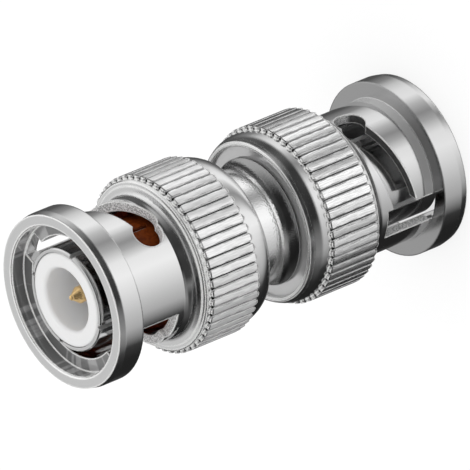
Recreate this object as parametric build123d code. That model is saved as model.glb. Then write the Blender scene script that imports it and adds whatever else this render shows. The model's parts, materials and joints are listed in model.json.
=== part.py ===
from build123d import *
import os
from math import cos, pi, radians, sin, tan

# Coaxial adapter with a bayonet plug at each end, in millimetres.
# It stands on the front rim of nut B, with +Z along its axis towards the front rim of nut A.
# Each end is drawn once in a frame of its own: Z is 0 at the nut's front face and grows towards the nut's back.

# Whole adapter
overall_length = 34.9
running_clearance = 0.15
press_clearance = 0.02
seat_gap = 0.05

# Coupling nut, front to back
rim_radius = 7.15
rim_width = 2.3
rim_bevel_length = 0.6
rim_bevel_height = 0.12
mouth_radius = 6.1
mouth_depth = 1.25
mouth_chamfer = 0.12
bore_radius = 5.0
neck_radius = 5.8
neck_cove = 0.3
shoulder_start = 8.6
step_radius = 6.5
step_height = 0.1
land_radius = 6.95
land_chamfer = 0.14
land_width = 0.45
roll_length = 1.5
nut_length = 15.5
lip_outer_radius = 6.5
lip_inner_radius = 6.15
lip_edge = 0.1
cavity_radius = 6.35
cavity_depth = 3.6

# Straight knurl
rib_count = 56
rib_top_radius = 7.25
rib_top_width = 0.62
rib_flank_angle = 9.0
rib_sink = 0.12
rib_end_gap = 0.2
rib_end_steps = 5

# Bayonet slots, two in each neck
slot_count = 2
channel_width = 2.5
channel_end_height = 6.9
channel_depth_radius = 5.95
ramp_start_height = 4.95
ramp_end_height = 6.65
ramp_angle = 83.0
detent_height = 6.3
detent_angle = 95.0
ramp_width = 2.3
detent_diameter = 2.45
nut_a_entry_angle = -30.0
nut_b_entry_angle = -135.0

# Washers in the back of the nut
retaining_thickness = 0.4
retaining_radius = 6.55
retaining_recess = 0.4
washer_bore_radius = 4.85
thrust_thickness = 0.4
wave_thickness = 0.25
wave_count = 3
wave_inner_radius = 4.95
wave_outer_radius = 6.05

# Plug shell
flange_thickness = 1.0
hub_radius = 4.65
spigot_radius = 3.9
spigot_end_gap = 0.45
shell_web = 0.75
shell_edge = 0.08

# Gasket
gasket_length = 1.5
gasket_inner_radius = 4.24
gasket_outer_radius = 4.85
gasket_edge = 0.15

# Outer contact
contact_front = 0.45
sleeve_radius = 4.2
sleeve_wall = 0.33
sleeve_chamfer = 0.1
finger_count = 4
finger_slot_width = 0.36
finger_slot_end = 8.0
finger_slot_angle = 45.0

# Insulators
insulator_hole_radius = 2.55
insulator_hole_depth = 5.5
insulator_hole_round = 0.3
insulator_edge = 0.1
rear_insulator_radius = 2.95

# Contact pin
pin_radius = 0.675
pin_tip_start = 0.85
pin_ball_radius = 0.25
pin_cone_length = 0.6
pin_shank_radius = 0.9
collar_radius = 1.35
collar_length = 1.6

# Centre body
waist_radius = 4.5
waist_flare_radius = 5.2
waist_flare_length = 1.35
waist_edge = 0.1

# Places that follow from the sizes above
middle = overall_length / 2
cavity_start = nut_length - cavity_depth
roll_start = nut_length - roll_length
rib_start = shoulder_start + land_width
rib_length = roll_start - rib_end_gap - rib_start
retaining_back = nut_length - retaining_recess
retaining_front = retaining_back - retaining_thickness
thrust_back = retaining_front - seat_gap
thrust_front = thrust_back - thrust_thickness
flange_front = cavity_start + running_clearance - seat_gap
flange_back = flange_front + flange_thickness
waist_front = retaining_back + running_clearance
spigot_end = middle - spigot_end_gap
sleeve_inner_radius = sleeve_radius - sleeve_wall
shell_bore_end = waist_front - shell_web


def turned(points):
    # Solid of revolution from a closed outline of (radius, height) points.
    outline = make_face(Polyline([(r, z) for r, z in points], close=True))
    return revolve(Plane.XZ * outline, Axis.Z)


def ring(inner, outer, low, high):
    return turned([(inner, low), (outer, low), (outer, high), (inner, high)])


def edges_at(solid, radius, height):
    # Circular edges of one radius at one height.
    found = solid.edges().filter_by(GeomType.CIRCLE)
    return found.filter_by(lambda e: abs(e.radius - radius) < 1e-3 and abs(e.center().Z - height) < 1e-3)


def nut_blank():
    # Turned blank with the rim, neck, shoulder, knurl land and rolled lip, bored from both ends.
    lip_face = make_face(
        Polyline((0, 0), (rim_radius - rim_bevel_height, 0), (rim_radius, rim_bevel_length),
                 (rim_radius, rim_width), (neck_radius, rim_width), (neck_radius, shoulder_start),
                 (step_radius, shoulder_start), (step_radius, shoulder_start + step_height),
                 (land_radius - land_chamfer, shoulder_start + step_height),
                 (land_radius, shoulder_start + step_height + land_chamfer), (land_radius, roll_start))
        + TangentArc((land_radius, roll_start), (lip_outer_radius, nut_length), tangent=(0, 1))
        + Polyline((lip_outer_radius, nut_length), (0, nut_length), (0, 0)))
    blank = revolve(Plane.XZ * lip_face, Axis.Z)
    blank -= turned([(0, 0), (mouth_radius, 0), (mouth_radius, mouth_depth), (bore_radius, mouth_depth),
                     (bore_radius, cavity_start), (cavity_radius, cavity_start),
                     (cavity_radius, retaining_front), (retaining_radius + seat_gap, retaining_front),
                     (retaining_radius + seat_gap, retaining_back), (lip_inner_radius, retaining_back),
                     (lip_inner_radius, nut_length), (0, nut_length)])
    blank = fillet(edges_at(blank, neck_radius, shoulder_start), neck_cove)
    blank = chamfer(edges_at(blank, mouth_radius, 0), mouth_chamfer)
    return chamfer(edges_at(blank, lip_outer_radius, nut_length)
                   + edges_at(blank, lip_inner_radius, nut_length), lip_edge)


def rib_outline(width):
    # Pill outline, with its two round ends as short straight steps.
    reach = (rib_length - rib_top_width) / 2
    turns = [pi * i / rib_end_steps - pi / 2 for i in range(rib_end_steps + 1)]
    far_end = [(reach + width / 2 * cos(t), width / 2 * sin(t)) for t in turns]
    return make_face(Polyline(far_end + [(-x, -y) for x, y in far_end], close=True))


def knurl_ribs():
    # Pill-shaped ribs with sloping flanks, set round the land.
    rise = rib_top_radius - land_radius + rib_sink
    rib_height = rib_start + rib_length / 2
    foot_width = rib_top_width + 2 * rise * tan(radians(rib_flank_angle))
    top = Plane(origin=(rib_top_radius, 0, rib_height), x_dir=(0, 0, 1), z_dir=(-1, 0, 0))
    rib = loft([top * rib_outline(rib_top_width), top.offset(rise) * rib_outline(foot_width)], ruled=True)
    return [Rot(0, 0, 360 * i / rib_count) * rib for i in range(rib_count)]


def radial_cutter(diameter, angle, height):
    # Round cutter that enters the neck wall along a radius.
    reach = channel_depth_radius - bore_radius + 1
    place = Plane(origin=(bore_radius - 0.5, 0, height), x_dir=(0, 1, 0), z_dir=(1, 0, 0))
    return Rot(0, 0, angle) * extrude(place * Circle(diameter / 2), amount=reach)


def bayonet_slot():
    # Straight entry channel, helical ramp and round detent that sits a little in front of the ramp's end.
    reach = channel_depth_radius - bore_radius + 0.5
    inner = bore_radius - 0.5
    channel = Pos(inner + reach / 2, 0, (mouth_depth + channel_end_height) / 2) * Box(
        reach, channel_width, channel_end_height - mouth_depth)
    turn = ramp_angle / 360
    rise = ramp_end_height - ramp_start_height
    path = Helix(pitch=rise / turn, height=rise, radius=neck_radius)
    section_plane = Plane(origin=path @ 0, x_dir=(1, 0, 0), z_dir=path % 0)
    ramp = sweep(section_plane * Rectangle(2 * (neck_radius - inner), ramp_width), path=path, is_frenet=True)
    ramp = Pos(0, 0, ramp_start_height) * ramp
    return [channel, ramp, radial_cutter(ramp_width, ramp_angle, ramp_end_height),
            radial_cutter(detent_diameter, detent_angle, detent_height)]


def coupling_nut(entry_angle):
    nut = nut_blank() + knurl_ribs()
    cutters = [Rot(0, 0, entry_angle + 360 * i / slot_count) * piece
               for i in range(slot_count) for piece in bayonet_slot()]
    # The slots are milled through the neck wall only, and stop under the rim.
    neck_zone = ring(bore_radius - 1, channel_depth_radius, mouth_depth, shoulder_start)
    slots = [piece & neck_zone for piece in cutters]
    return nut - slots


def retaining_washer():
    washer = ring(washer_bore_radius, retaining_radius, retaining_front, retaining_back)
    return chamfer(edges_at(washer, washer_bore_radius, retaining_back), shell_edge)


def thrust_washer():
    return ring(washer_bore_radius, cavity_radius - running_clearance, thrust_front, thrust_back)


def wave_line(height):
    # Closed line round the washer's middle, which rises and falls wave_count times.
    middle_radius = (wave_inner_radius + wave_outer_radius) / 2
    swing = (thrust_front - flange_back - wave_thickness - seat_gap) / 2
    steps = 8 * wave_count
    turns = [2 * pi * i / steps for i in range(steps)]
    return Spline([(middle_radius * cos(t), middle_radius * sin(t), height + swing * cos(wave_count * t))
                   for t in turns], periodic=True)


def wave_washer():
    # Flat strip swept along the wavy line, held level by a second line above it.
    path = wave_line((flange_back + thrust_front) / 2)
    start = Plane(origin=path @ 0, x_dir=(1, 0, 0), z_dir=path % 0)
    strip = start * Rectangle(wave_outer_radius - wave_inner_radius, wave_thickness)
    guide = wave_line(thrust_back + wave_outer_radius)
    return sweep(strip, path=path, binormal=guide.edge())


def gasket():
    seal = ring(gasket_inner_radius, gasket_outer_radius, flange_front - gasket_length, flange_front)
    front = flange_front - gasket_length
    return chamfer(edges_at(seal, gasket_inner_radius, front) + edges_at(seal, gasket_outer_radius, front),
                   gasket_edge)


def plug_shell():
    # Flange in front, hub through the washers, spigot in the centre body, bored for sleeve and insulator.
    flange_radius = cavity_radius - running_clearance
    sleeve_bore = sleeve_radius + press_clearance
    insulator_bore = rear_insulator_radius + press_clearance
    shell = turned([(sleeve_bore, flange_front), (flange_radius, flange_front), (flange_radius, flange_back),
                    (hub_radius, flange_back), (hub_radius, waist_front), (spigot_radius, waist_front),
                    (spigot_radius, spigot_end), (insulator_bore, spigot_end),
                    (insulator_bore, shell_bore_end), (sleeve_bore, shell_bore_end)])
    return chamfer(edges_at(shell, flange_radius, flange_front) + edges_at(shell, flange_radius, flange_back)
                   + edges_at(shell, spigot_radius, spigot_end), shell_edge)


def outer_contact():
    # Thin sleeve whose front is sawn into springy fingers.
    sleeve = ring(sleeve_inner_radius, sleeve_radius, contact_front, shell_bore_end)
    sleeve = chamfer(edges_at(sleeve, sleeve_radius, contact_front), sleeve_chamfer)
    saw_height = (finger_slot_end + contact_front) / 2
    saw = Pos(sleeve_radius, 0, saw_height) * Box(
        2 * sleeve_wall + 1, finger_slot_width, finger_slot_end - contact_front)
    cuts = [Rot(0, 0, finger_slot_angle + 360 * i / finger_count) * saw for i in range(finger_count)]
    return sleeve - cuts


def insulator():
    # Cup in front, and a solid web with the pin's bore behind it.
    outer = sleeve_inner_radius - press_clearance
    hole_end = contact_front + insulator_hole_depth
    pin_bore = pin_shank_radius + press_clearance
    cup = turned([(insulator_hole_radius, contact_front), (outer, contact_front), (outer, shell_bore_end),
                  (pin_bore, shell_bore_end), (pin_bore, hole_end), (insulator_hole_radius, hole_end)])
    cup = fillet(edges_at(cup, insulator_hole_radius, contact_front), insulator_hole_round)
    return chamfer(edges_at(cup, outer, contact_front), insulator_edge)


def rear_insulator():
    # Bead from the front insulator to the middle, with a recess for half of the pin's collar.
    pin_bore = pin_shank_radius + press_clearance
    collar_bore = collar_radius + press_clearance
    collar_start = middle - collar_length / 2 - press_clearance
    return turned([(pin_bore, shell_bore_end), (rear_insulator_radius, shell_bore_end),
                   (rear_insulator_radius, middle), (collar_bore, middle), (collar_bore, collar_start),
                   (pin_bore, collar_start)])


def pin_half():
    # One end of the pin: ball tip, cone, contact length, thicker shank in the insulators, half of the collar.
    ball_centre = pin_tip_start + pin_ball_radius
    cone_end = ball_centre + pin_cone_length
    shank_start = contact_front + insulator_hole_depth
    collar_start = middle - collar_length / 2
    outline = make_face(
        ThreePointArc((0, pin_tip_start),
                      (pin_ball_radius * sin(radians(45)), ball_centre - pin_ball_radius * cos(radians(45))),
                      (pin_ball_radius, ball_centre))
        + Polyline((pin_ball_radius, ball_centre), (pin_radius, cone_end), (pin_radius, shank_start),
                   (pin_shank_radius, shank_start), (pin_shank_radius, collar_start),
                   (collar_radius, collar_start), (collar_radius, middle), (0, middle), (0, pin_tip_start)))
    return revolve(Plane.XZ * outline, Axis.Z)


def waist_half():
    # Half of the waist: a flare that curves down to the plain middle, bored for the shell's spigot.
    spigot_bore = spigot_radius + press_clearance
    web_start = spigot_end + press_clearance
    insulator_bore = rear_insulator_radius + press_clearance
    flare_end = waist_front + waist_flare_length
    flare_edge = waist_front + waist_edge
    outline = make_face(
        Polyline((waist_radius, middle), (waist_radius, flare_end))
        + TangentArc((waist_radius, flare_end), (waist_flare_radius, flare_edge), tangent=(0, -1))
        + Polyline((waist_flare_radius, flare_edge), (waist_flare_radius - waist_edge, waist_front),
                   (spigot_bore, waist_front), (spigot_bore, web_start), (insulator_bore, web_start),
                   (insulator_bore, middle), (waist_radius, middle)))
    return revolve(Plane.XZ * outline, Axis.Z)


def to_end_a(solid):
    # End A is end B turned over about a horizontal axis, so both nuts are the same part.
    return Pos(0, 0, overall_length) * Rot(180, 0, 0) * solid


def both_halves(half):
    return half + to_end_a(half)


os.makedirs("parts", exist_ok=True)
end_pieces = {
    "retaining_washer": retaining_washer(),
    "thrust_washer": thrust_washer(),
    "wave_washer": wave_washer(),
    "gasket": gasket(),
    "plug_shell": plug_shell(),
    "outer_contact": outer_contact(),
    "insulator": insulator(),
    "rear_insulator": rear_insulator(),
}
nodes = {
    "coupling_nut_a": to_end_a(coupling_nut(nut_a_entry_angle)),
    "coupling_nut_b": coupling_nut(nut_b_entry_angle),
    "contact_pin": both_halves(pin_half()),
    "centre_body": both_halves(waist_half()),
}
for name, piece in end_pieces.items():
    nodes[name + "_a"] = to_end_a(piece)
    nodes[name + "_b"] = piece
for name, piece in nodes.items():
    export_step(piece, "parts/" + name + ".step")
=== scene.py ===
import bpy
import json
import math
from mathutils import Matrix, Vector

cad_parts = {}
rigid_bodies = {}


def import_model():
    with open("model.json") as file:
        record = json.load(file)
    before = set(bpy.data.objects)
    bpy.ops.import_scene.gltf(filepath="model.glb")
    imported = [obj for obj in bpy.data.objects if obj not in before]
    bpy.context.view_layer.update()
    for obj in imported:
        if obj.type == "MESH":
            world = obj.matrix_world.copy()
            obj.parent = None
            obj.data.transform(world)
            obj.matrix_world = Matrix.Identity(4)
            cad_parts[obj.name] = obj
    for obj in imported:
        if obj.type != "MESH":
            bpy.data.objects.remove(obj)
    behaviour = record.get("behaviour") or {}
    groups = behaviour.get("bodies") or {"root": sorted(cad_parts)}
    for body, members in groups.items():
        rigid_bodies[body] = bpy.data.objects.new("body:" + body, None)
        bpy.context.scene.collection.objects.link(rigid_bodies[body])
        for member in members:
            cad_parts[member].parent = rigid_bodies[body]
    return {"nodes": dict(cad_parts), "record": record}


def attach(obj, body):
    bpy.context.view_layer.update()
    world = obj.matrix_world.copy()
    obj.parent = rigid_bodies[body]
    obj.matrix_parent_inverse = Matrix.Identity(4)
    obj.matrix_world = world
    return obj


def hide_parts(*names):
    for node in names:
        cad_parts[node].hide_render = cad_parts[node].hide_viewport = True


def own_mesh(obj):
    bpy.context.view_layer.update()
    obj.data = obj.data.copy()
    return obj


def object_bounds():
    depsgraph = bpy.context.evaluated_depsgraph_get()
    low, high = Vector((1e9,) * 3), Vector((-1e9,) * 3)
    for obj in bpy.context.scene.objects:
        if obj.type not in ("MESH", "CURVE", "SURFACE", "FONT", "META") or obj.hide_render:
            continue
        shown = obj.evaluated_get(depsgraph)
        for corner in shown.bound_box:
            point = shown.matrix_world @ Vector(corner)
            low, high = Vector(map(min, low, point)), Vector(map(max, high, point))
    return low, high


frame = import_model()
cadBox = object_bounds()
print("frame loaded")

# the adapter's own measures, read from the solids
topHeight = cadBox[1][2]
millimetre = 0.001


def grey(value):
    return (value, value, value, 1)


def addNode(tree, kind, values=None, sources=None, **settings):
    made = tree.nodes.new("ShaderNode" + kind)
    for key, value in settings.items():
        setattr(made, key, value)
    for key, value in (values or {}).items():
        made.inputs[key].default_value = value
    for key, source in (sources or {}).items():
        tree.links.new(source, made.inputs[key])
    return made


def useGroup(tree, group, values=None, sources=None):
    return addNode(tree, "Group", values, sources, node_tree=group).outputs


def reckon(tree, kind, first, second=0.0):
    # one step of arithmetic on sockets or numbers
    made = addNode(tree, "Math", operation=kind)
    for place, item in enumerate((first, second)):
        if isinstance(item, (int, float)):
            made.inputs[place].default_value = item
        else:
            tree.links.new(item, made.inputs[place])
    return made.outputs[0]


def product(tree, first, *others):
    for other in others:
        first = reckon(tree, "MULTIPLY", first, other)
    return first


def opposite(tree, mask):
    return reckon(tree, "SUBTRACT", 1.0, mask)


def fade(tree, value, low, high):
    # 0 below low, 1 above high, smooth between; low may be the greater, and then it runs the other way
    turned = low > high
    made = addNode(tree, "MapRange", {"From Min": min(low, high), "From Max": max(low, high),
                                      "To Min": 1.0 if turned else 0.0, "To Max": 0.0 if turned else 1.0},
                   {"Value": value}, interpolation_type="SMOOTHSTEP")
    return made.outputs["Result"]


def mixed(tree, amount, first, second, kind="RGBA"):
    made = addNode(tree, "Mix", data_type=kind)
    tree.links.new(amount, made.inputs[0])
    sockets = (6, 7, 2) if kind == "RGBA" else (2, 3, 0)   # both inputs and the output of that kind
    for place, item in zip(sockets, (first, second)):
        if isinstance(item, bpy.types.NodeSocket):
            tree.links.new(item, made.inputs[place])
        else:
            made.inputs[place].default_value = item
    return made.outputs[sockets[2]]


def layered(tree, base, *layers, kind="RGBA"):
    # each layer is a mask and what covers the base where the mask is 1, the last one on top
    for mask, cover in layers:
        base = mixed(tree, mask, base, cover, kind)
    return base


def dulled(tree, shine, *dullings):
    # the metal's shine less what each mask takes off it, down to a plain light surface
    for mask, amount in dullings:
        shine = reckon(tree, "SUBTRACT", shine, product(tree, mask, amount))
    return shine


def newMaterial(name):
    material = bpy.data.materials.new(name)
    material.use_nodes = True
    material.node_tree.nodes.clear()
    return material, material.node_tree


def shadeWith(tree, values, sources, height=None):
    # the shader that ends a material; a height in metres bumps its normal first
    if height is not None:
        bump = addNode(tree, "Bump", {"Strength": 1.0, "Distance": 1.0},
                       {"Height": height, "Normal": sources["Normal"]})
        sources = {**sources, "Normal": bump.outputs[0]}
    shade = addNode(tree, "BsdfPrincipled", values, sources)
    addNode(tree, "OutputMaterial", sources={"Surface": shade.outputs[0]})


def newGroup(name, inputs, outputs):
    # the inputs are numbers, given with their defaults, and the outputs are given with their kinds
    tree = bpy.data.node_groups.new(name, "ShaderNodeTree")
    for label, value in inputs.items():
        socket = tree.interface.new_socket(name=label, in_out="INPUT", socket_type="NodeSocketFloat")
        socket.default_value = value
    for label, kind in outputs.items():
        tree.interface.new_socket(name=label, in_out="OUTPUT", socket_type="NodeSocket" + kind)
    return tree, tree.nodes.new("NodeGroupInput").outputs, tree.nodes.new("NodeGroupOutput").inputs


# the photo's view: a long lens, the adapter's top leaning to the lower left
view = {
    "azimuth": -89.46,        # degrees from +X, where the camera stands
    "elevation": 33.92,
    "roll": -112.34,
    "distance": 1.159346,
    "focalPixels": 15000.0,
    "imagePixels": 470.0,
    "aimHeight": topHeight / 2 - 0.0002,
    "pixelsRight": 2.99,      # how far the aim point lies from the picture's middle
    "pixelsDown": -5.56,
    "sensor": 36.0,
    "clip": (0.1, 20.0),
}


def makeCamera():
    azimuth, elevation, roll = (math.radians(view[key]) for key in ("azimuth", "elevation", "roll"))
    toward = Vector((math.cos(elevation) * math.cos(azimuth), math.cos(elevation) * math.sin(azimuth),
                     math.sin(elevation)))
    levelRight = toward.cross(Vector((0, 0, 1))).normalized() * -1
    levelUp = toward.cross(levelRight)
    right = levelRight * math.cos(roll) + levelUp * math.sin(roll)
    up = levelUp * math.cos(roll) - levelRight * math.sin(roll)
    perPixel = view["distance"] / view["focalPixels"]
    place = Vector((0, 0, view["aimHeight"])) + toward * view["distance"]
    place += (up * view["pixelsDown"] - right * view["pixelsRight"]) * perPixel
    data = bpy.data.cameras.new("camera")
    data.sensor_width = view["sensor"]
    data.lens = view["focalPixels"] / view["imagePixels"] * view["sensor"]
    data.clip_start, data.clip_end = view["clip"]
    camera = bpy.data.objects.new("camera", data)
    bpy.context.scene.collection.objects.link(camera)
    camera.matrix_world = Matrix((right, up, toward)).transposed().to_4x4()
    camera.location = place
    bpy.context.scene.camera = camera


# what polished metal sees round it, by direction: degrees from the camera's side towards the
# lower edge of the picture, and the light that comes from there
studio = {
    "lowCards": [(-180, 0.08), (-150, 0.10), (-128, 0.30), (-112, 0.72), (-96, 0.98), (-80, 1.06),
                 (-66, 0.62), (-50, 0.33), (-38, 0.50), (-20, 1.02), (0, 1.10), (20, 0.92),
                 (46, 0.66), (66, 0.50), (80, 0.26), (92, 0.045), (112, 0.022), (146, 0.02), (180, 0.08)],
    "middleCards": [(-180, 0.20), (-155, 0.05), (-130, 0.13), (-108, 0.12), (-86, 0.08), (-65, 0.13),
                    (-44, 0.05), (-22, 0.06), (0, 0.04), (22, 0.035), (42, 0.20), (65, 0.28), (86, 0.11),
                    (108, 0.03), (130, 0.02), (155, 0.03), (180, 0.20)],
    "highCards": [(-180, 0.70), (-150, 0.84), (-125, 1.05), (-98, 0.92), (-80, 0.66), (-64, 0.42),
                  (-48, 0.18), (-34, 0.06), (-12, 0.045), (0, 0.06), (14, 0.045), (36, 0.05), (48, 0.22),
                  (60, 0.06), (76, 0.04), (96, 0.03), (120, 0.08), (142, 0.22), (162, 0.50), (180, 0.70)],
    "overhead": 0.50,
    "middleFrom": (-22.0, -12.0),  # degrees over which the low cards give way to the middle ones
    "highFrom": (4.0, 14.0),
    "overheadFrom": (54.0, 70.0),
    "softLight": 1.38,             # what plastic, rubber and the floor get from all sides
    "backdrop": 1.0,
    "floorColour": (0.23, 0.23, 0.23, 1),
    "floorGlow": 0.73,
    "floorSize": 3.0,
    "bounces": 20,
    "glossyBounces": 16,
    "diffuseBounces": 6,
}


def cardRamp(tree, source, cards):
    # the gradient runs from -Y round by +X; the card angles grow round by -X
    ramp = addNode(tree, "ValToRGB", sources={"Fac": source})
    while len(ramp.color_ramp.elements) < len(cards):
        ramp.color_ramp.elements.new(0.5)
    ordered = sorted((0.5 - angle / 360, light) for angle, light in cards)
    for element, (position, light) in zip(ramp.color_ramp.elements, ordered):
        element.position = position
        element.color = grey(light)
    return ramp.outputs["Color"]


def joinShaders(tree, joined, first, second):
    tree.links.new(first.outputs[0], joined.inputs[-2])
    tree.links.new(second.outputs[0], joined.inputs[-1])
    return joined


def makeStudio():
    # metal sees the cards, everything else a plain soft light, and the camera the white backdrop
    scene = bpy.context.scene
    scene.view_settings.view_transform = "Standard"
    scene.cycles.max_bounces = studio["bounces"]
    scene.cycles.glossy_bounces = studio["glossyBounces"]
    scene.cycles.diffuse_bounces = studio["diffuseBounces"]
    world = bpy.data.worlds.new("studio")
    scene.world = world
    world.use_nodes = True
    world.cycles.sampling_method = "NONE"
    tree = world.node_tree
    tree.nodes.clear()
    direction = addNode(tree, "TexCoord").outputs["Generated"]
    quarterTurn = addNode(tree, "Mapping", {"Rotation": (0, 0, math.radians(90))}, {"Vector": direction})
    aroundAxis = addNode(tree, "TexGradient", sources={"Vector": quarterTurn.outputs[0]},
                         gradient_type="RADIAL").outputs["Fac"]
    rise = addNode(tree, "SeparateXYZ", sources={"Vector": direction}).outputs["Z"]
    cards, middle, high = (cardRamp(tree, aroundAxis, studio[ring])
                           for ring in ("lowCards", "middleCards", "highCards"))
    overhead = grey(studio["overhead"])
    for start, above in (("middleFrom", middle), ("highFrom", high), ("overheadFrom", overhead)):
        reached = fade(tree, rise, *(math.sin(math.radians(angle)) for angle in studio[start]))
        cards = mixed(tree, reached, cards, above)
    seen = addNode(tree, "Background", sources={"Color": cards})
    soft, backdrop = (addNode(tree, "Background", {"Color": grey(1), "Strength": studio[key]})
                      for key in ("softLight", "backdrop"))
    path = addNode(tree, "LightPath").outputs
    byGloss, byCamera = (addNode(tree, "MixShader", sources={"Fac": path[ray]})
                         for ray in ("Is Glossy Ray", "Is Camera Ray"))
    lit = joinShaders(tree, byGloss, soft, seen)
    final = joinShaders(tree, byCamera, lit, backdrop)
    addNode(tree, "OutputWorld", sources={"Surface": final.outputs[0]})


def floorMaterial():
    # white paper that keeps the adapter's shadow; the glow is for the camera alone
    material, tree = newMaterial("whitePaper")
    paper = addNode(tree, "BsdfDiffuse", {"Color": studio["floorColour"]})
    path = addNode(tree, "LightPath").outputs
    glow = addNode(tree, "Emission",
                   sources={"Strength": product(tree, path["Is Camera Ray"], studio["floorGlow"])})
    both = joinShaders(tree, addNode(tree, "AddShader"), paper, glow)
    addNode(tree, "OutputMaterial", sources={"Surface": both.outputs[0]})
    return material


def makeFloor():
    half = studio["floorSize"] / 2
    corners = [(-half, -half, 0), (half, -half, 0), (half, half, 0), (-half, half, 0)]
    mesh = bpy.data.meshes.new("floor")
    mesh.from_pydata(corners, [], [(0, 1, 2, 3)])
    mesh.materials.append(floorMaterial())
    floor = bpy.data.objects.new("floor", mesh)
    bpy.context.scene.collection.objects.link(floor)
    floor.visible_glossy = False


# where each end's front face is and which way depth grows from it; sense 0 leaves the middle without depth
ends = {
    "a": {"Front Height": topHeight, "Sense": -1.0},
    "b": {"Front Height": 0.0, "Sense": 1.0},
    "middle": {"Front Height": 0.0, "Sense": 0.0},
}


def makeTurnedPlace():
    # where a point lies on a turned part: its radius, how far it is from that end's front face,
    # whether the surface looks along the axis or along a radius, and its angle about the axis
    tree, given, out = newGroup("turnedPlace", {"Front Height": 0.0, "Sense": 1.0},
                                dict.fromkeys(("Radius", "Depth", "Axial", "Radial", "Angle"), "Float"))
    coords = addNode(tree, "TexCoord").outputs
    parts = addNode(tree, "SeparateXYZ", sources={"Vector": coords["Object"]}).outputs
    spoke = addNode(tree, "CombineXYZ", sources={"X": parts["X"], "Y": parts["Y"]}).outputs[0]
    length = addNode(tree, "VectorMath", sources={0: spoke}, operation="LENGTH")
    unit = addNode(tree, "VectorMath", sources={0: spoke}, operation="NORMALIZE")
    radial = addNode(tree, "VectorMath", sources={0: unit.outputs[0], 1: coords["Normal"]},
                     operation="DOT_PRODUCT")
    normalZ = addNode(tree, "SeparateXYZ", sources={"Vector": coords["Normal"]}).outputs["Z"]
    fromFront = reckon(tree, "SUBTRACT", parts["Z"], given["Front Height"])
    tree.links.new(length.outputs["Value"], out["Radius"])
    tree.links.new(product(tree, fromFront, given["Sense"]), out["Depth"])
    tree.links.new(reckon(tree, "ABSOLUTE", normalZ), out["Axial"])
    tree.links.new(reckon(tree, "ABSOLUTE", radial.outputs["Value"]), out["Radial"])
    tree.links.new(reckon(tree, "ARCTAN2", parts["Y"], parts["X"]), out["Angle"])
    return tree


def makeLatheMarks():
    # fine rings left by the turning tool, along the axis on round faces and outwards on flat ones
    tree, given, out = newGroup("latheMarks", {"Radius": 0.0, "Depth": 0.0, "Axial": 0.0,
                                               "Rings per Metre": 12000.0}, {"Height": "Float"})
    across = mixed(tree, given["Axial"], given["Depth"], given["Radius"], "FLOAT")
    rings = addNode(tree, "TexNoise", {"Scale": 1.0, "Detail": 2.0},
                    {"W": product(tree, across, given["Rings per Metre"])}, noise_dimensions="1D")
    tree.links.new(rings.outputs["Fac"], out["Height"])
    return tree


grains = {"perMetre": 9000.0, "detail": 3.0, "roughness": 0.6, "speckleFrom": (0.42, 0.6)}


def makeGrain():
    # fine even grain, as on a pressed, sawn or tumbled surface
    tree, given, out = newGroup(
        "grain", {"Grains per Metre": grains["perMetre"], "Detail": grains["detail"]},
        {"Height": "Float", "Speckle": "Float"})
    coords = addNode(tree, "TexCoord").outputs
    fine = addNode(tree, "TexNoise", {"Roughness": grains["roughness"]},
                   {"Vector": coords["Object"], "Scale": given["Grains per Metre"],
                    "Detail": given["Detail"]}).outputs["Fac"]
    tree.links.new(fine, out["Height"])
    tree.links.new(fade(tree, fine, *grains["speckleFrom"]), out["Speckle"])
    return tree


# how far the rounded normal turns from the flat one, as a cosine, from no edge to a full one
roundedEdge = {"width": 0.00005, "samples": 6, "edgeFrom": (0.997, 0.955)}


def makeSoftEdge():
    # the small round that every real edge has, and a mask of where it is
    tree, given, out = newGroup("softEdge", {"Width": roundedEdge["width"]},
                                {"Normal": "Vector", "Edge": "Float"})
    bevel = addNode(tree, "Bevel", sources={"Radius": given["Width"]}, samples=roundedEdge["samples"])
    flat = addNode(tree, "NewGeometry").outputs["Normal"]
    same = addNode(tree, "VectorMath", sources={0: bevel.outputs[0], 1: flat}, operation="DOT_PRODUCT")
    tree.links.new(bevel.outputs[0], out["Normal"])
    tree.links.new(fade(tree, same.outputs["Value"], *roundedEdge["edgeFrom"]), out["Edge"])
    return tree


crown = {
    "ribs": 56,
    "ribRadius": 0.00725,
    "bulge": 270.0,           # how strongly a rib's top is rounded, per metre
    "lean": 0.30,             # how much one rib leans more than the next
    "streakDepth": 0.000009,
    "streaksPerMetre": (10000.0, 900.0),   # across and along the ribs
    "markFrom": (0.40, 0.62),
    "sideFrom": (0.00023, 0.00026),        # metres from a rib's middle to the painted shade line at its side
    "sideTo": (0.00030, 0.00028),
    "sideWhere": (0.56, 0.44),             # the streaks that break the line up
}


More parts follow.
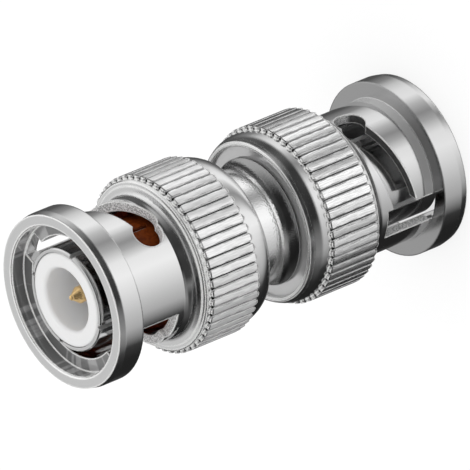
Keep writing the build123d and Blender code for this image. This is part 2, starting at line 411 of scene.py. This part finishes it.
def makeRibCrown():
    # height of a pressed rib's rounded top, with its lean and the draw marks along it
    tree, given, out = newGroup("ribCrown", {"Angle": 0.0, "Depth": 0.0},
                                {"Height": "Float", "Mark": "Float", "Side": "Float"})
    fullTurn = 2 * math.pi
    count = product(tree, given["Angle"], crown["ribs"] / fullTurn)
    nearest = reckon(tree, "ROUND", count)
    across = product(tree, reckon(tree, "SUBTRACT", count, nearest),
                     fullTurn * crown["ribRadius"] / crown["ribs"])
    bulge = product(tree, across, across, -crown["bulge"])
    chance = addNode(tree, "TexWhiteNoise", sources={"W": nearest}, noise_dimensions="1D").outputs["Value"]
    lean = product(tree, reckon(tree, "SUBTRACT", chance, 0.5), crown["lean"], across)
    streaksAround, streaksAlong = crown["streaksPerMetre"]
    spot = addNode(tree, "CombineXYZ", sources={
        "X": product(tree, given["Angle"], crown["ribRadius"] * streaksAround),
        "Y": product(tree, given["Depth"], streaksAlong)})
    marks = addNode(tree, "TexNoise", {"Scale": 1.0, "Detail": 2.0}, {"Vector": spot.outputs[0]},
                    noise_dimensions="2D").outputs["Fac"]
    leaning = reckon(tree, "ADD", bulge, lean)
    height = reckon(tree, "ADD", leaning, product(tree, marks, crown["streakDepth"]))
    aside = reckon(tree, "ABSOLUTE", across)
    # Side: where a painted shade line runs along each rib's side, broken up by the streaks
    side = product(tree, fade(tree, aside, *crown["sideFrom"]), fade(tree, aside, *crown["sideTo"]),
                   fade(tree, marks, *crown["sideWhere"]))
    tree.links.new(height, out["Height"])
    tree.links.new(fade(tree, marks, *crown["markFrom"]), out["Mark"])
    tree.links.new(side, out["Side"])
    return tree


def ringsOf(tree, place, values=None):
    # height of the lathe's rings at that place of a turned part
    sources = {key: place[key] for key in ("Radius", "Depth", "Axial")}
    return useGroup(tree, latheMarks, values, sources)["Height"]


nut = {
    # what differs between the two nuts in the photo; nut B's darker plate colour and its near-black cut
    # ledges are painted shade on the same plating
    "a": {"plateColourAndShade": grey(0.77), "ledgeShade": 0.86, "knurlDull": 0.47, "footDull": 0.0},
    "b": {"plateColourAndShade": grey(0.70), "ledgeShade": 0.10, "knurlDull": 0.05, "footDull": 0.38},
    # where the finishes lie: each fade runs from nothing to full, and a zone is their product.
    # Radius and the depth behind the front face are in millimetres; Axial and Radial run from 0 to 1
    "zones": {
        "Knurl": [("Depth", 9.1, 9.25), ("Depth", 13.74, 13.6)],
        "Rib Top": [("Radius", 7.08, 7.2)],
        "Groove": [("Radius", 7.16, 7.02), ("Radius", 6.6, 6.8)],
        "Cut Wall": [("Depth", 2.35, 2.45), ("Depth", 8.5, 8.4), ("Radius", 5.0, 5.04),
                     ("Radius", 5.8, 5.76), ("Radial", 0.6, 0.3)],
        "Cut Ledge": [("Axial", 0.4, 0.7)],
        "Flat Face": [("Axial", 0.9, 0.98)],
        "Mouth": [("Radius", 6.16, 6.12), ("Depth", 1.4, 1.3), ("Depth", 0.02, 0.06)],
        "Bore": [("Radius", 5.06, 5.02)],
        "Rim Back": [("Depth", 1.95, 2.05), ("Depth", 2.5, 2.4)],
        "Rim Back Edge": [("Radius", 5.6, 5.7)],      # this edge gets no painted highlight line
        "Rim Back Face": [("Radius", 5.84, 5.90)],
        "Foot": [("Depth", 2.31, 2.34), ("Depth", 3.3, 3.1), ("Radius", 5.72, 5.76), ("Radius", 5.88, 5.84)],
        "Cove": [("Depth", 7.45, 8.6), ("Radius", 5.5, 5.6)],   # the neck sweeps up to the shoulder here
    },
    "unit": {"Radius": millimetre, "Depth": millimetre, "Axial": 1.0, "Radial": 1.0},
    # the rib tops are drawn whiter than the plating: a painted highlight
    "ribTopHighlight": grey(1.0),
    "markColour": grey(0.84),       # the draw marks on the ribs
    # the colour of the painted shade line along a rib's side
    "ribSideShade": grey(0.30),
    # painted shade in the grooves between the ribs
    "grooveShade": grey(0.16),
    # a near-white line painted along the nut's edges: a painted highlight
    "paintedEdgeLight": (0.95, 0.95, 0.94, 1),
    "cutShade": 0.86,               # the slots' milled walls, light grains among darker ones
    "speckleShade": 0.42,           # how dark those are beside the light ones
    "mouthShade": grey(0.23),     # painted shade inside the mouth, with painted reflection patches
    "mouthReflectionStreak": grey(0.44),
    "boreColour": grey(0.74),
    # painted shade on the flat rear face of the rim
    "rimBackShade": grey(0.43),
    "polish": 0.09,
    "knurlRoughness": 0.22,
    "cutRoughness": 0.45,
    "faceRoughness": 0.20,
    "edgeWidth": 0.00020,
    "ribEdgeWidth": 0.00005,
    "edgeDull": 0.8,                # how far an edge goes from a mirror to a plain light line: a painted highlight
    "cutDull": 0.75,
    "insideDull": 0.42,
    "ringDepth": 0.0000012,
    "grainsPerMetre": 8000.0,
    "grainDepth": 0.000012,
    "coveHeight": 0.00040,
    # how many painted reflection patches go round the mouth, and where they start
    "streaksRound": 2.6,
    "streakFrom": (0.50, 0.56),
}


def makeNutZones():
    # masks of where each finish lies on a coupling nut
    tree, given, out = newGroup("nutZones", dict.fromkeys(nut["unit"], 0.0),
                                dict.fromkeys(nut["zones"], "Float"))
    for label, limits in nut["zones"].items():
        mask = product(tree, *(fade(tree, given[key], low * nut["unit"][key], high * nut["unit"][key])
                               for key, low, high in limits))
        tree.links.new(mask, out[label])
    return tree


def nutNickel(name, end):
    material, tree = newMaterial(name)
    look = nut[end]
    place = useGroup(tree, turnedPlace, ends[end])
    rough = useGroup(tree, grain, {"Grains per Metre": nut["grainsPerMetre"]})
    ribs = useGroup(tree, ribCrown, sources={key: place[key] for key in ("Angle", "Depth")})
    zone = useGroup(tree, nutZones, sources={key: place[key] for key in nut["unit"]})

    def speckled(shade):
        return mixed(tree, rough["Speckle"], grey(shade), grey(nut["speckleShade"] * shade))

    knurl, wall, mouth, rimBack, flatFace = (zone[label] for label in (
        "Knurl", "Cut Wall", "Mouth", "Rim Back", "Flat Face"))
    ribTop = product(tree, knurl, zone["Rib Top"])
    # groove: where the painted shade between the ribs goes
    groove = product(tree, knurl, zone["Groove"])
    shadedRimFace = product(tree, rimBack, zone["Rim Back Face"], flatFace)
    width = mixed(tree, knurl, nut["edgeWidth"], nut["ribEdgeWidth"], "FLOAT")
    edge = useGroup(tree, softEdge, sources={"Width": width})
    # the nut's edges, less the knurl and the rim's rear edge, get a painted highlight line
    highlitEdge = product(tree, edge["Edge"], opposite(tree, knurl),
                   opposite(tree, product(tree, rimBack, zone["Rim Back Edge"])))

    # the rib tops: a painted highlight of whiter plating, the real draw marks a little darker, and a painted
    # shade line along each rib's side
    ribLightMarksAndShade = layered(tree, nut["markColour"], (ribs["Mark"], nut["ribTopHighlight"]),
                       (ribs["Side"], nut["ribSideShade"]))
    # the cut ledges facing along the axis take each nut's ledge shade, a painted shade on nut B
    cutShade = mixed(tree, zone["Cut Ledge"], speckled(nut["cutShade"]), speckled(look["ledgeShade"]))
    # inside the mouth: painted shade, broken into lighter patches round it that are painted reflections
    streakPlace = product(tree, place["Angle"], nut["streaksRound"])
    reflectionPatches = addNode(tree, "TexNoise", {"Scale": 1.0, "Detail": 3.0, "Roughness": 0.7}, {"W": streakPlace},
                      noise_dimensions="1D").outputs["Fac"]
    inside = mixed(tree, fade(tree, reflectionPatches, *nut["streakFrom"]), nut["mouthShade"],
                   nut["mouthReflectionStreak"])
    colour = layered(tree, look["plateColourAndShade"], (ribTop, ribLightMarksAndShade), (mouth, inside),
                     (zone["Bore"], nut["boreColour"]), (shadedRimFace, nut["rimBackShade"]),
                     (groove, nut["grooveShade"]), (wall, cutShade), (highlitEdge, nut["paintedEdgeLight"]))
    shine = dulled(tree, 1.0, (highlitEdge, nut["edgeDull"]), (wall, nut["cutDull"]),
                   (mouth, nut["insideDull"]), (zone["Foot"], look["footDull"]),
                   (ribTop, look["knurlDull"]))
    roughness = layered(tree, nut["polish"], (flatFace, nut["faceRoughness"]),
                        (ribTop, nut["knurlRoughness"]), (wall, nut["cutRoughness"]), kind="FLOAT")
    turned = reckon(tree, "ADD", product(tree, ringsOf(tree, place), nut["ringDepth"]),
                    product(tree, zone["Cove"], nut["coveHeight"]))
    milled = product(tree, rough["Height"], nut["grainDepth"])
    height = layered(tree, turned, (wall, milled), (ribTop, ribs["Height"]), kind="FLOAT")
    shadeWith(tree, {}, {"Base Color": colour, "Metallic": shine, "Roughness": roughness,
                         "Normal": edge["Normal"]}, height)
    return material


plate = {
    "bright": {"colour": grey(0.77), "shine": 1.0},
    "satin": {"colour": grey(0.66), "shine": 0.68},
    "roughness": 0.11,
    "edgeWidth": 0.00006,
    "edgeDull": 0.6,
    "ringDepth": 0.000002,
    "grainsPerMetre": 5000.0,
    "grainDepth": 0.000004,
}


def plainNickel(name, look):
    material, tree = newMaterial(name)
    place = useGroup(tree, turnedPlace)
    rough = useGroup(tree, grain, {"Grains per Metre": plate["grainsPerMetre"]})
    edge = useGroup(tree, softEdge, {"Width": plate["edgeWidth"]})
    height = reckon(tree, "ADD", product(tree, ringsOf(tree, place), plate["ringDepth"]),
                    product(tree, rough["Height"], plate["grainDepth"]))
    shine = dulled(tree, look["shine"], (edge["Edge"], plate["edgeDull"]))
    shadeWith(tree, {"Base Color": look["colour"], "Roughness": plate["roughness"]},
              {"Metallic": shine, "Normal": edge["Normal"]}, height)
    return material


waist = {
    "colour": grey(0.87),
    "flareShade": grey(0.33),
    "flareFrom": (0.00451, 0.00472),   # metres from the axis
    "roughness": 0.06,
    "edgeWidth": 0.00012,
    "edgeDull": 0.9,
    "grainsPerMetre": 7500.0,
    "grainDetail": 1.0,
    "grainDepth": 0.000011,
}


def waistNickel():
    # tumbled nickel, bright on the plain middle; where it flares out the colour is painted darker, a painted
    # shade
    material, tree = newMaterial("waistNickel")
    place = useGroup(tree, turnedPlace)
    rough = useGroup(tree, grain, {"Grains per Metre": waist["grainsPerMetre"],
                                   "Detail": waist["grainDetail"]})
    edge = useGroup(tree, softEdge, {"Width": waist["edgeWidth"]})
    flare = fade(tree, place["Radius"], *waist["flareFrom"])
    colour = mixed(tree, flare, waist["colour"], waist["flareShade"])
    shine = dulled(tree, 1.0, (edge["Edge"], waist["edgeDull"]))
    shadeWith(tree, {"Roughness": waist["roughness"]},
              {"Base Color": colour, "Metallic": shine, "Normal": edge["Normal"]},
              product(tree, rough["Height"], waist["grainDepth"]))
    return material


steel = {"colour": grey(0.5), "roughness": 0.3, "speckleRoughness": 0.4, "grainsPerMetre": 5000.0}


def springSteel():
    material, tree = newMaterial("springSteel")
    rough = useGroup(tree, grain, {"Grains per Metre": steel["grainsPerMetre"]})
    roughness = mixed(tree, rough["Speckle"], steel["roughness"], steel["speckleRoughness"], "FLOAT")
    shadeWith(tree, {"Metallic": 1.0, "Base Color": steel["colour"]}, {"Roughness": roughness})
    return material


# bare metal sleeves, whose rear parts are painted red-brown like silicone: a painted reflection of the red
# gasket
sleeve = {
    "colour": grey(0.70),
    "roughness": 0.12,
    "gasketTintStart": {"a": 0.0047, "b": 0.0070},   # metres behind the front face where the painted reflection starts
    "gasketTintFade": 0.0003,
    "gasketTintRadius": (0.0037, 0.0038),
    "gasketReflectionColour": (0.155, 0.030, 0.003, 1),
    "gasketReflectionSpeckle": (0.105, 0.018, 0.002, 1),
    "gasketTintRoughness": 0.5,
    "gloss": 0.15,
    "grainsPerMetre": 3500.0,
}


def gasketTintedContact(name, end):
    material, tree = newMaterial(name)
    place = useGroup(tree, turnedPlace, ends[end])
    rough = useGroup(tree, grain, {"Grains per Metre": sleeve["grainsPerMetre"]})
    edge = useGroup(tree, softEdge, {"Width": plate["edgeWidth"]})
    start = sleeve["gasketTintStart"][end]
    # where the sleeve shows the painted reflection of the gasket, drawn as red-brown silicone
    showsGasketTint = product(tree, fade(tree, place["Depth"], start, start + sleeve["gasketTintFade"]),
                      fade(tree, place["Radius"], *sleeve["gasketTintRadius"]))
    silicone = mixed(tree, rough["Speckle"], sleeve["gasketReflectionColour"], sleeve["gasketReflectionSpeckle"])
    colour = mixed(tree, showsGasketTint, sleeve["colour"], silicone)
    shine = dulled(tree, opposite(tree, showsGasketTint), (edge["Edge"], plate["edgeDull"]))
    roughness = mixed(tree, showsGasketTint, sleeve["roughness"], sleeve["gasketTintRoughness"], "FLOAT")
    shadeWith(tree, {"Specular IOR Level": sleeve["gloss"]},
              {"Base Color": colour, "Metallic": shine, "Roughness": roughness, "Normal": edge["Normal"]})
    return material


rubber = {
    "colour": (0.55, 0.085, 0.025, 1),
    "deep": (0.36, 0.05, 0.02, 1),
    "roughness": 0.42,
    "soft": {"Subsurface Weight": 0.3, "Subsurface Scale": 0.0004, "Subsurface Radius": (1.0, 0.25, 0.1)},
    "edgeWidth": 0.00012,
    "grainsPerMetre": 3500.0,
    "grainDepth": 0.00001,
}


def siliconeRubber():
    material, tree = newMaterial("silicone")
    rough = useGroup(tree, grain, {"Grains per Metre": rubber["grainsPerMetre"]})
    edge = useGroup(tree, softEdge, {"Width": rubber["edgeWidth"]})
    colour = mixed(tree, rough["Speckle"], rubber["colour"], rubber["deep"])
    shadeWith(tree, {"Roughness": rubber["roughness"], **rubber["soft"]},
              {"Base Color": colour, "Normal": edge["Normal"]},
              product(tree, rough["Height"], rubber["grainDepth"]))
    return material


plastic = {
    "colour": grey(0.62),
    # the colour painted deep in the cup: painted light
    "deep": (0.70, 0.72, 0.75, 1),
    "deepFrom": (0.0005, 0.0030),        # metres behind the front face
    "cupRadius": (0.00262, 0.00256),
    "roughness": 0.36,
    "soft": {"Subsurface Weight": 0.2, "Subsurface Scale": 0.0006, "Subsurface Radius": (1.0, 0.95, 0.9)},
    "edgeWidth": 0.00032,
    "ringsPerMetre": 6000.0,
    "ringDepth": 0.000002,
}


def whitePlastic(name, end):
    # moulded white plastic; deep in the ends' cups, round the pin, the colour is painted lighter and cooler:
    # painted light against the shade there and the gold pin's warm reflection
    material, tree = newMaterial(name)
    place = useGroup(tree, turnedPlace, ends[end])
    rings = ringsOf(tree, place, {"Rings per Metre": plastic["ringsPerMetre"]})
    edge = useGroup(tree, softEdge, {"Width": plastic["edgeWidth"]})
    values = {"Roughness": plastic["roughness"], **plastic["soft"]}
    sources = {"Normal": edge["Normal"]}
    if end == "middle":
        values["Base Color"] = plastic["colour"]
    else:
        cupPaintedLight = product(tree, fade(tree, place["Depth"], *plastic["deepFrom"]),
                        fade(tree, place["Radius"], *plastic["cupRadius"]))
        sources["Base Color"] = mixed(tree, cupPaintedLight, plastic["colour"], plastic["deep"])
    shadeWith(tree, values, sources, product(tree, rings, plastic["ringDepth"]))
    return material


gold = {
    "colour": (1.0, 0.70, 0.33, 1),
    "roughness": 0.06,
    "shine": 0.88,
    "edgeWidth": 0.00004,
    "ringsPerMetre": 9000.0,
    "ringDepth": 0.000008,
}


def goldPlate():
    material, tree = newMaterial("goldPlate")
    rings = ringsOf(tree, useGroup(tree, turnedPlace), {"Rings per Metre": gold["ringsPerMetre"]})
    edge = useGroup(tree, softEdge, {"Width": gold["edgeWidth"]})
    shadeWith(tree, {"Base Color": gold["colour"], "Metallic": gold["shine"],
                     "Roughness": gold["roughness"]},
              {"Normal": edge["Normal"]}, product(tree, rings, gold["ringDepth"]))
    return material


makeCamera()
makeStudio()
makeFloor()
print("studio made")

turnedPlace = makeTurnedPlace()
ribCrown = makeRibCrown()
latheMarks = makeLatheMarks()
grain = makeGrain()
softEdge = makeSoftEdge()
nutZones = makeNutZones()
print("shader groups made")

# a finish for each material slot, and own ones for the pieces that look different from the rest of theirs
finishes = {
    "nickel_plate": plainNickel("nickel", plate["bright"]),
    "spring_steel": springSteel(),
    "silicone": siliconeRubber(),
    "white_dielectric": whitePlastic("whiteDielectric", "middle"),
    "gold_plate": goldPlate(),
}
ownFinish = {"centre_body": waistNickel()}
for end in "ab":
    letter = end.upper()
    ownFinish["coupling_nut_" + end] = nutNickel("nickelNut" + letter, end)
    ownFinish["retaining_washer_" + end] = plainNickel("satinNickel" + letter, plate["satin"])
    ownFinish["insulator_" + end] = whitePlastic("whiteCup" + letter, end)
    ownFinish["outer_contact_" + end] = gasketTintedContact("sleeve" + letter, end)
slotOf = {row["node"]: row["material_slot"] for row in frame["record"]["subparts"]}
for name, piece in frame["nodes"].items():
    piece.data.materials.clear()
    piece.data.materials.append(ownFinish.get(name) or finishes[slotOf[name]])
print("finishes set")


def flatteningSpring(row, joint):
    # stands for a wave washer: a copy with its own mesh, fixed to the joint's parent, in place of the hidden
    # original
    original = frame["nodes"][row["node"]]
    spring = bpy.data.objects.new(row["node"] + "_flattening", original.data.copy())
    bpy.context.scene.collection.objects.link(spring)
    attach(spring, joint["parent"])
    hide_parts(row["node"])
    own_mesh(spring)


for joint in frame["record"]["behaviour"]["joints"]:
    for row in joint.get("deforming_nodes", []):
        flatteningSpring(row, joint)
print("springs made")
